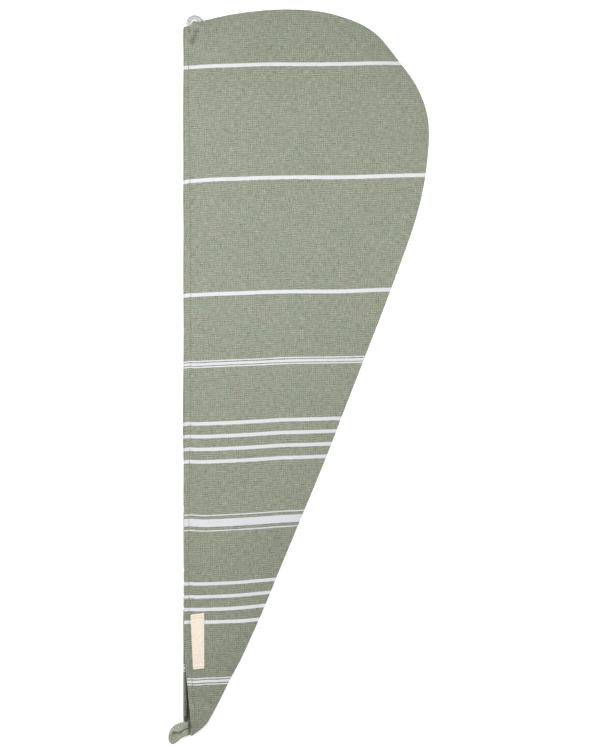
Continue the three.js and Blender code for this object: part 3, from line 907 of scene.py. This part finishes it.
def cloth_layer(name, mouth_table, surface, side, shift):
    """One layer of the towel. side is 1 for the front, whose right side faces up, and -1 for the back.

    shift is how much further up the cloth its piece was cut, so that its stripes lie lower.
    """
    first_y = mouth_table[0][0]
    even = np.linspace(0, 1, ROWS)
    share = even - ROW_CROWDING * wave(even, 1) / (2 * np.pi)
    y = first_y + (CORNER_Y - first_y) * share
    mouth_line = np.stack([mouth_x(mouth_table, y), y], axis=1)
    seam_line = smooth_line(SEAM_POINTS, share)
    mouth_out, seam_out = outward_of(mouth_line, -1), outward_of(seam_line, 1)
    hemmed = TIP_HEM + (1 - TIP_HEM) * soft_step(*FULL_FROM, y) * (1 - soft_step(*FULL_TO, y))
    path = np.array([
        cloth_path({"at": m, "out": mo}, {"at": s, "out": so}, h)
        for m, mo, s, so, h in zip(mouth_line, mouth_out, seam_line, seam_out, hemmed)
    ])
    x, y = path[..., 0], path[..., 1]
    middle = np.dstack([x, y, surface(x, y) - side * (CLOTH / 2 + path[..., 5])])
    right_side = np.dstack([path[..., 2], path[..., 3], side * path[..., 4]]) * CLOTH / 2
    cut = weave_place(path[..., 6], path[..., 7]) + np.array([0.0, shift])
    return sheet_mesh(name, middle + right_side, middle - right_side, cut, SAGE_COTTON)


front = cloth_layer("front_cloth", FRONT_MOUTH, front_height, 1, 0.0)
back = cloth_layer("back_cloth", BACK_MOUTH, back_height, -1, BACK_SHIFT)
for layer in (front, back):
    print(layer.name, len(layer.data.polygons), "faces")

# %% [markdown]
# The strap loop is a strip of the same cloth, folded so that its raw edges are inside. Pressed flat, its eye
# is only a slit: the upper leg stands up a little and the lower leg runs in under it, so the slit is dark. A
# sweep along one middle line can't widen and twist like this, so the strap is swept along both of its edges:
# at each step the flat section is stretched from one edge to the other. A fine groove shows where the folded
# edges meet.

# %% Tubes from rings
def ring_faces(rings, sides):
    """The numbers of the points, ring by ring, and faces that join neighbouring rings."""
    at = np.arange(rings * sides).reshape(rings, sides)
    following = np.roll(at, -1, axis=1)
    faces = np.stack([at[:-1], following[:-1], following[1:], at[1:]], axis=-1).reshape(-1, 4)
    return at, faces


def tube_piece(name, rings, material, cut=None, clockwise=False):
    """A tube through rings of points with a cap at each end. clockwise says which way its rings run."""
    at, faces = ring_faces(*rings.shape[:2])
    caps = [at[0][::-1], at[-1]]
    if clockwise:
        faces = faces[:, [0, 3, 2, 1]]
        caps = [at[0], at[-1][::-1]]
    faces = faces.tolist() + [cap.tolist() for cap in caps]
    return new_piece(name, in_frame(rings.reshape(-1, 3)), faces, material, cut)


print("a ring of 8 points has", len(ring_faces(2, 8)[1]), "faces to the next")

# %% Strap loop
STRAP_THICK = 1.5
STRAP_GROOVE = {"place": 0.3, "width": 0.10, "depth": 0.28}
SECTION_POINTS, SECTION_SQUARENESS = 13, 6
SEWN_THIN, SEWN_FROM = 0.4, (4.8, 6.6)
STRAP_STEPS = 130
STRAP_CUT_FROM = (60, 455)
STRAP = [
    # outer edge x, y, z and inner edge x, y, z
    (8.0, 12.4, 0.9, 8.0, 7.0, 0.9), (6.6, 12.7, 0.9, 6.6, 7.0, 0.9), (5.3, 12.8, 1.2, 5.3, 7.0, 1.2),
    (4.2, 12.8, 2.9, 4.2, 6.9, 3.1), (2.4, 12.8, 3.3, 2.4, 6.6, 3.8), (-0.8, 12.8, 2.8, -0.6, 5.3, 4.0),
    (-5.0, 11.4, 1.9, -3.2, 4.1, 4.6), (-9.4, 8.9, 1.5, -5.4, 3.4, 5.4), (-12.5, 4.6, 1.3, -6.8, 4.1, 5.6),
    (-14.2, -0.8, 1.4, -8.4, 5.2, 4.4), (-13.6, -5.9, 1.6, -9.1, 3.6, 2.6),
    (-10.6, -8.4, 1.8, -8.2, 3.1, 1.6), (-6.0, -6.1, 1.9, -5.4, 3.8, 1.3),
    (-2.2, -2.9, 2.4, -3.0, 4.4, 2.0), (1.8, -0.6, 3.0, 0.6, 5.9, 2.6), (4.0, 0.0, 2.8, 4.0, 6.3, 2.4),
    (5.3, 0.2, 1.2, 5.3, 6.5, 1.1), (6.6, 0.5, 0.9, 6.6, 6.6, 0.9), (8.0, 1.0, 0.9, 8.0, 6.6, 0.9),
]


def strap_section():
    """Half width and half thickness shares round the section, with the groove on both faces."""
    across = np.sin(np.linspace(-0.5, 0.5, SECTION_POINTS) * np.pi)
    groove = 1 - STRAP_GROOVE["depth"] * hump(across - STRAP_GROOVE["place"], STRAP_GROOVE["width"])
    thick = np.sqrt(np.clip(1 - np.abs(across) ** SECTION_SQUARENESS, 0, 1)) * groove
    top = np.stack([across, thick], axis=1)
    under = np.stack([across[-2:0:-1], -thick[-2:0:-1]], axis=1)
    return np.vstack([top, under])


def make_strap():
    """Sweeps the section along the two edges, pressed thinner where the strap is sewn in."""
    both = smooth_line(STRAP, np.linspace(0, 1, STRAP_STEPS))
    outer, inner = both[:, :3], both[:, 3:]
    middle, half = (outer + inner) / 2, (inner - outer) / 2
    forward = unit(np.gradient(middle, axis=0))
    normal = unit(np.cross(forward, half))
    run = np.append(0, np.cumsum(np.linalg.norm(np.diff(middle, axis=0), axis=1)))
    shares, thick = strap_section().T
    pressed = STRAP_THICK / 2 * (1 - SEWN_THIN * soft_step(*SEWN_FROM, middle[:, 0]))
    rings = middle[:, None] + half[:, None] * shares[:, None]
    rings = rings + normal[:, None] * (pressed[:, None] * thick)[..., None]
    across = np.outer(np.linalg.norm(half, axis=1), shares) + STRAP_CUT_FROM[0]
    along = np.repeat(run[:, None] + STRAP_CUT_FROM[1], len(shares), axis=1)
    print("strap runs", round(run[-1], 1), "mm")
    return tube_piece("strap_loop", rings, STRAP_COTTON_PAINTED_LIGHT, np.dstack([across, along]), clockwise=True)


strap = make_strap()

# %% [markdown]
# The label is a short piece of plain cream tape, sewn on beside the hem. Its ends are turned under, so they
# stand a little thicker, and a row of stitches holds each end. Its two left corners have worn round. A thin
# box bent to the cloth would nearly do, but the label is a sheet as the towel is, so the same function makes
# it, from a grid that is finer near its ends.

# %% Label
LABEL_CORNERS = np.array([(9.2, 62.5), (19.8, 63.5), (19.8, 115.8), (6.8, 114.3)])
LABEL_THICK = 0.45
LABEL_HEIGHT = 51.5
LABEL_WIDTH = 12.0
TAPE_WIDTH = 12.5
CORNER_RADIUS = 1.6
LABEL_GAP = 0.05
END_FOLD, FOLD_EDGE = 0.35, (3.2, 4.2)
END_STITCH = 2.0
STITCH_DENT, DENT_WIDTH = 0.25, 0.45
EDGE_ROUND, EDGE_WIDTH = 0.16, 0.18
UP_ROWS = [(0, 0.1, 12), (0.12, 0.9, 42), (0.92, 0.975, 8), (0.98, 1, 9)]
ACROSS_ROWS = 22


def label_point(across, up):
    """A place on the label from shares across and up, with its two left corners rounded."""
    into = np.clip(CORNER_RADIUS - np.minimum(up, 1 - up) * LABEL_HEIGHT, 0, CORNER_RADIUS)
    shy = (CORNER_RADIUS - np.sqrt(CORNER_RADIUS**2 - into**2)) / LABEL_WIDTH
    across = shy + across * (1 - shy)
    a, b, c, d = (LABEL_CORNERS[k][:, None] for k in range(4))
    flat_across, flat_up = across.ravel(), up.ravel()
    low, high = a + (b - a) * flat_across, d + (c - d) * flat_across
    x, y = low + (high - low) * flat_up
    return x.reshape(across.shape), y.reshape(across.shape)


def make_label():
    """The tape, as thick as its fold at both ends and dented under its stitches."""
    ups = np.concatenate([np.linspace(*rows) for rows in UP_ROWS])
    across, up = np.meshgrid(np.linspace(0, 1, ACROSS_ROWS), ups)
    x, y = label_point(across, up)
    from_end = np.minimum(up, 1 - up) * LABEL_HEIGHT
    folded = 1 - soft_step(*FOLD_EDGE, from_end)
    stitched = STITCH_DENT * hump(from_end - END_STITCH, DENT_WIDTH)
    edge = np.minimum(np.minimum(across, 1 - across) * TAPE_WIDTH, from_end)
    rounding = EDGE_ROUND * np.exp(-edge / EDGE_WIDTH)
    bed = front_height(x, y) + LABEL_GAP
    uneven = 0.08 * np.sin(y / 5.0) * np.sin(x / 4.0)
    top = bed + LABEL_THICK + END_FOLD * folded - stitched - rounding + uneven
    outer, inner = np.dstack([x, y, top]), np.dstack([x, y, bed])
    return sheet_mesh("side_label", outer, inner, np.dstack([x, y]), CREAM_TAPE)


label = make_label()
print("label", [round(d * 1000, 1) for d in label.dimensions], "mm")

# %% [markdown]
# The button is turned from pearl: a shallow dish on one face, a fine ring on the other, and two holes. A
# turned part is a profile spun round its axis. A Screw modifier could spin it too, but a few lines of numbers
# also close the poles. The holes are cut afterwards with two thin cylinders, and the thread that holds the
# button passes through them.

# %% Button
BUTTON_SIDES = 96
HOLE_RADIUS = 0.8
HOLE_SPACING = 3.6
HOLE_TURN = math.radians(20)
DRILL_FROM, DRILL_TO, DRILL_SIDES = -1.0, 4.0, 28
MIDDLE_HEIGHT = 1.3
SHARP_EDGE = math.radians(40)
BUTTON_PROFILE = [
    (0.0, 0.8), (4.2, 0.8), (5.0, 0.72), (5.4, 0.42), (5.9, 0.12), (6.6, 0.01), (7.2, 0.08), (7.75, 0.38),
    (8.07, 0.8), (8.2, 1.25), (8.15, 1.62), (7.95, 1.98), (7.55, 2.28), (7.0, 2.48), (6.4, 2.58), (5.6, 2.6),
    (5.02, 2.58), (4.86, 2.5), (4.7, 2.36), (4.54, 2.36), (4.38, 2.5), (4.2, 2.58), (3.8, 2.6), (0.0, 2.6),
]


def spin_profile(name, profile, centre, sides):
    """Spins a profile of radius and height round a vertical axis. Its first and last points are poles."""
    angles = np.arange(sides) * 2 * np.pi / sides
    body = np.array(profile[1:-1])
    ring = np.stack([np.cos(angles), np.sin(angles)], axis=1)
    points = np.concatenate([ring * radius for radius in body[:, 0]]) + np.array(centre)
    points = np.column_stack([points, np.repeat(body[:, 1], sides)])
    poles = [(*centre, profile[0][1]), (*centre, profile[-1][1])]
    at, faces = ring_faces(len(body), sides)
    low, high = len(points), len(points) + 1
    faces = faces.tolist()
    faces += [[low, b, a] for a, b in zip(at[0], np.roll(at[0], -1))]
    faces += [[high, a, b] for a, b in zip(at[-1], np.roll(at[-1], -1))]
    return new_piece(name, in_frame(np.vstack([points, poles])), faces)


def hole_places():
    """The middles of the two holes."""
    step = HOLE_SPACING / 2 * np.array([math.cos(HOLE_TURN), math.sin(HOLE_TURN)])
    return [np.array(BUTTON_CENTRE) + step, np.array(BUTTON_CENTRE) - step]


def plain_mesh(thing):
    """Applies a thing's modifiers: its evaluated mesh becomes its own, and the modifiers go."""
    graph = bpy.context.evaluated_depsgraph_get()
    mesh = bpy.data.meshes.new_from_object(thing.evaluated_get(graph))
    thing.modifiers.clear()
    thing.data = mesh


def make_button():
    """Turns the button, drills it and gives it its pearl."""
    made = spin_profile("pearl_button", BUTTON_PROFILE, BUTTON_CENTRE, BUTTON_SIDES)
    drill_profile = [(0.0, DRILL_FROM), (HOLE_RADIUS, DRILL_FROM), (HOLE_RADIUS, DRILL_TO), (0.0, DRILL_TO)]
    for place in hole_places():
        drill = spin_profile("drill", drill_profile, place, DRILL_SIDES)
        cut = made.modifiers.new("hole", "BOOLEAN")
        cut.object = drill
        cut.solver = "EXACT"
        plain_mesh(made)
        bpy.data.objects.remove(drill)
    centre = in_frame((*BUTTON_CENTRE, MIDDLE_HEIGHT))
    made.data.materials.clear()
    made.data.materials.append(pearl_finish([float(c) for c in centre]))
    made.data.shade_smooth()
    made.data.set_sharp_from_angle(angle=SHARP_EDGE)
    return made


button = make_button()
print("button", len(button.data.polygons), "faces")

# %% [markdown]
# Thread that isn't in a row, such as the few turns through the button and the knot on the back hem at the
# tail end of the mouth, is one long tube along a smooth line. A curve with a bevel would do as well, but the
# tube is a plain mesh from the start.


# %% Hand-sewn thread
THREAD_RADIUS = 0.17
KNOT_TURNS = 8
KNOT_PLACE = 4.2
KNOT_WIDTH = 0.42
KNOT_FROM, KNOT_TO = 14.9, 16.3
KNOT_LEVEL, KNOT_RISE = 1.7, 0.12
BUTTON_TURNS = 4
TURN_SHIFT = np.array([0.12, -0.18])
THROUGH_HOLE = (3.4, 2.6, 1.0)
OFF_AXIS = np.array([0.31, 0.17, 0.93])


def thread_tube(name, points, sides, steps, material):
    """A round thread along a smooth line through the points."""
    line = smooth_line(points, np.linspace(0, 1, steps))
    forward = unit(np.gradient(line, axis=0))
    side = unit(np.cross(forward, OFF_AXIS))
    other = np.cross(forward, side)
    angles = np.arange(sides) * 2 * np.pi / sides
    ring = np.cos(angles)[:, None] * side[:, None] + np.sin(angles)[:, None] * other[:, None]
    return tube_piece(name, line[:, None] + THREAD_RADIUS * ring, material)


def make_button_thread():
    """Turns of thread through both holes and into the cloth above."""
    first, second = hole_places()
    points = []
    for turn in range(BUTTON_TURNS):
        shift = TURN_SHIFT * (turn - (BUTTON_TURNS - 1) / 2)
        for place, heights in ((first, THROUGH_HOLE), (second, THROUGH_HOLE[::-1])):
            points += [(*(place + shift), height) for height in heights]
    return thread_tube("button_thread", points, 8, 260, CREAM_THREAD)


def make_mouth_tack():
    """A knot of zigzag thread on the back hem, at the tail end of the mouth."""
    turn = np.arange(KNOT_TURNS)
    x = KNOT_PLACE + KNOT_WIDTH * (-1.0) ** turn
    y = np.linspace(KNOT_FROM, KNOT_TO, len(turn))
    z = back_height(x, y) + KNOT_LEVEL + KNOT_RISE * (turn % 2)
    return thread_tube("mouth_tack", np.column_stack([x, y, z]), 6, 240, PALE_THREAD)


button_thread = make_button_thread()
mouth_tack = make_mouth_tack()
print("hand-sewn", [button_thread.name, mouth_tack.name])

# %% [markdown]
# Machine stitches repeat hundreds of times along a line, which is work for Geometry Nodes. The tree takes a
# line and cuts it at the stitch pitch, sets one short thread on each point, turns it along the line and away
# from the cloth, and gives each a slightly different length. An Array modifier could repeat them too, but all
# would be alike and each would bend with the line. The result is made a plain mesh at the end.

# %% The stitching tree
STITCH_PITCH = 2.9 * MM
STITCH_LENGTH = 2.35 * MM
THREAD_THICK = 0.42 * MM
UNEVENNESS = 0.12
FIRST_SEED = 3


def stitch_tree():
    """The node tree that sews a line. Its inputs are the sizes of the stitching."""
    tree = bpy.data.node_groups.new("stitching", "GeometryNodeTree")
    tree.is_modifier = True
    wanted = [
        ("Line", "NodeSocketGeometry", None), ("Pitch", "NodeSocketFloat", STITCH_PITCH),
        ("Stitch Length", "NodeSocketFloat", STITCH_LENGTH), ("Thread", "NodeSocketFloat", THREAD_THICK),
        ("Unevenness", "NodeSocketFloat", UNEVENNESS), ("Seed", "NodeSocketInt", FIRST_SEED),
        ("Finish", "NodeSocketMaterial", None),
    ]
    for name, kind, value in wanted:
        socket = tree.interface.new_socket(name, in_out="INPUT", socket_type=kind)
        if value is not None:
            socket.default_value = value
    tree.interface.new_socket("Stitches", in_out="OUTPUT", socket_type="NodeSocketGeometry")
    start = Wire(tree).node("NodeGroupInput")
    given = {name: start.output(name) for name, _, _ in wanted}
    length, thread = given["Stitch Length"], given["Thread"]

    bend = {
        "Start": point(length * -0.5, 0.0, thread * -0.55),
        "Start Handle": point(length * -0.36, 0.0, thread * 0.5),
        "End Handle": point(length * 0.36, 0.0, thread * 0.5),
        "End": point(length * 0.5, 0.0, thread * -0.55),
        "Resolution": 5,
    }
    arc = start.node("GeometryNodeCurvePrimitiveBezierSegment", None, bend)
    sockets = {"Resolution": 6, "Radius": thread * 0.5}
    round_thread = start.node("GeometryNodeCurvePrimitiveCircle", None, sockets)
    sockets = {"Curve": arc, "Profile Curve": round_thread, "Fill Caps": True}
    stitch = start.node("GeometryNodeCurveToMesh", None, sockets)

    curve = start.node("GeometryNodeMeshToCurve", None, {"Mesh": given["Line"]})
    sockets = {"Curve": curve, "Length": given["Pitch"]}
    cuts = start.node("GeometryNodeResampleCurve", {"mode": "LENGTH"}, sockets)
    tangent = start.node("GeometryNodeInputTangent")
    away = start.node("GeometryNodeInputNamedAttribute", {"data_type": "FLOAT_VECTOR"}, {"Name": "away"})
    turn = "FunctionNodeAlignRotationToVector"
    along = start.node(turn, {"axis": "X"}, {"Vector": tangent})
    facing = start.node(turn, {"axis": "Z", "pivot_axis": "X"}, {"Rotation": along, "Vector": away})
    spread = given["Unevenness"]
    sockets = {2: 1.0 - spread, 3: 1.0 + spread, "Seed": given["Seed"]}
    stretch = start.node("FunctionNodeRandomValue", {"data_type": "FLOAT"}, sockets, 1)
    sockets = {"Points": cuts, "Instance": stitch, "Rotation": facing, "Scale": point(stretch, 1.0, 1.0)}
    laid = start.node("GeometryNodeInstanceOnPoints", None, sockets)
    solid = start.node("GeometryNodeRealizeInstances", None, {"Geometry": laid})
    smooth = start.node("GeometryNodeSetShadeSmooth", None, {"Geometry": solid})
    finished = start.node("GeometryNodeSetMaterial", None, {"Geometry": smooth, "Material": given["Finish"]})
    finished.node("NodeGroupOutput", None, {"Stitches": finished})
    return tree


STITCHING = stitch_tree()
print(len(STITCHING.nodes), "nodes in the stitching tree")

# %% Sewing a line
def sew(name, lines, material, **sizes):
    """Stitches along lines. Each line is its points and the direction that its stitches face."""
    points, edges, away = [], [], []
    for line, direction in lines:
        first = len(points)
        points += in_frame(line).tolist()
        edges += [(k, k + 1) for k in range(first, len(points) - 1)]
        away += [direction] * len(line)
    made = new_piece(name, points, [], edges=edges)
    facing = made.data.attributes.new("away", "FLOAT_VECTOR", "POINT")
    facing.data.foreach_set("vector", np.array(away, np.float32).ravel())
    machine = made.modifiers.new("stitching", "NODES")
    machine.node_group = STITCHING
    items = [item for item in STITCHING.interface.items_tree if item.in_out == "INPUT"]
    sockets = {item.name: item.identifier for item in items}
    machine[sockets["Finish"]] = material
    for key, value in sizes.items():
        machine[sockets[key.replace("_", " ").title()]] = value
    plain_mesh(made)
    made.data.attributes.remove(made.data.attributes["away"])
    print(name, len(made.data.polygons), "faces")
    return made


# %% Hem stitches
UP, DOWN = (0.0, 0.0, 1.0), (0.0, 0.0, -1.0)
HEM_STACK = CLOTH + 2 * HEM_TURN
STANDS_PROUD = 0.04
SUNK_IN = 0.30
OUTER_RUN = (20, 652)
INNER_RUN = (22, 650)
RUN_POINTS = 420
BACK_SEED = 8


def along_hem(mouth_table, run, surface, rise):
    """A line of points on the hem's stitch line, so far above a layer's outer face."""
    y = np.linspace(*run, RUN_POINTS)
    x = mouth_x(mouth_table, y) + stitch_inset(y)
    return np.column_stack([x, y, np.ravel(surface(x, y)) + rise])


front_stitches = sew(
    "front_hem_stitches",
    [
        (along_hem(FRONT_MOUTH, OUTER_RUN, front_height, STANDS_PROUD), UP),
        (along_hem(FRONT_MOUTH, INNER_RUN, front_height, -(HEM_STACK + STANDS_PROUD)), DOWN),
    ],
    SAGE_THREAD,
)
back_stitches = sew(
    "back_hem_stitches",
    [
        (along_hem(BACK_MOUTH, OUTER_RUN, back_height, HEM_STACK + STANDS_PROUD), UP),
        (along_hem(BACK_MOUTH, INNER_RUN, back_height, SUNK_IN), DOWN),
    ],
    SAGE_THREAD,
    seed=BACK_SEED,
)

# %% Label stitches
LABEL_STITCH = {"pitch": 1.7 * MM, "stitch_length": 1.4 * MM, "thread": 0.30 * MM}
DENT_PROUD = 0.02
SEWN_WIDTH, SEWN_POINTS = (0.07, 0.93), 20


def across_label(up):
    """A line of points across the label, in the dent of its stitches."""
    shares = np.linspace(*SEWN_WIDTH, SEWN_POINTS)
    x, y = label_point(shares, np.full(SEWN_POINTS, up))
    height = front_height(x, y)[0] + LABEL_THICK + LABEL_GAP + END_FOLD - STITCH_DENT + DENT_PROUD
    return np.column_stack([x, y, height])


end_share = END_STITCH / LABEL_HEIGHT
label_lines = [(across_label(share), UP) for share in (end_share, 1 - end_share)]
label_stitches = sew("label_stitches", label_lines, CREAM_THREAD, **LABEL_STITCH)

# %% [markdown]
# Last, each piece is handed to the frame: it rides on the towel's one body, and the CAD node in its
# place is hidden.

# %% Hand over
PIECES = [
    (front, "cotton", ["front_panel"]), (back, "cotton", ["back_panel"]), (strap, "cotton", ["loop"]),
    (label, "label_tape", ["label"]), (button, "pearl", ["button"]), (front_stitches, "cotton", []),
    (back_stitches, "cotton", []), (label_stitches, "label_tape", []), (button_thread, "cotton", []),
    (mouth_tack, "cotton", []),
]
for piece, finish, nodes in PIECES:
    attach(piece, "root")
    if nodes:
        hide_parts(*nodes)
print(len(PIECES), "pieces handed over")
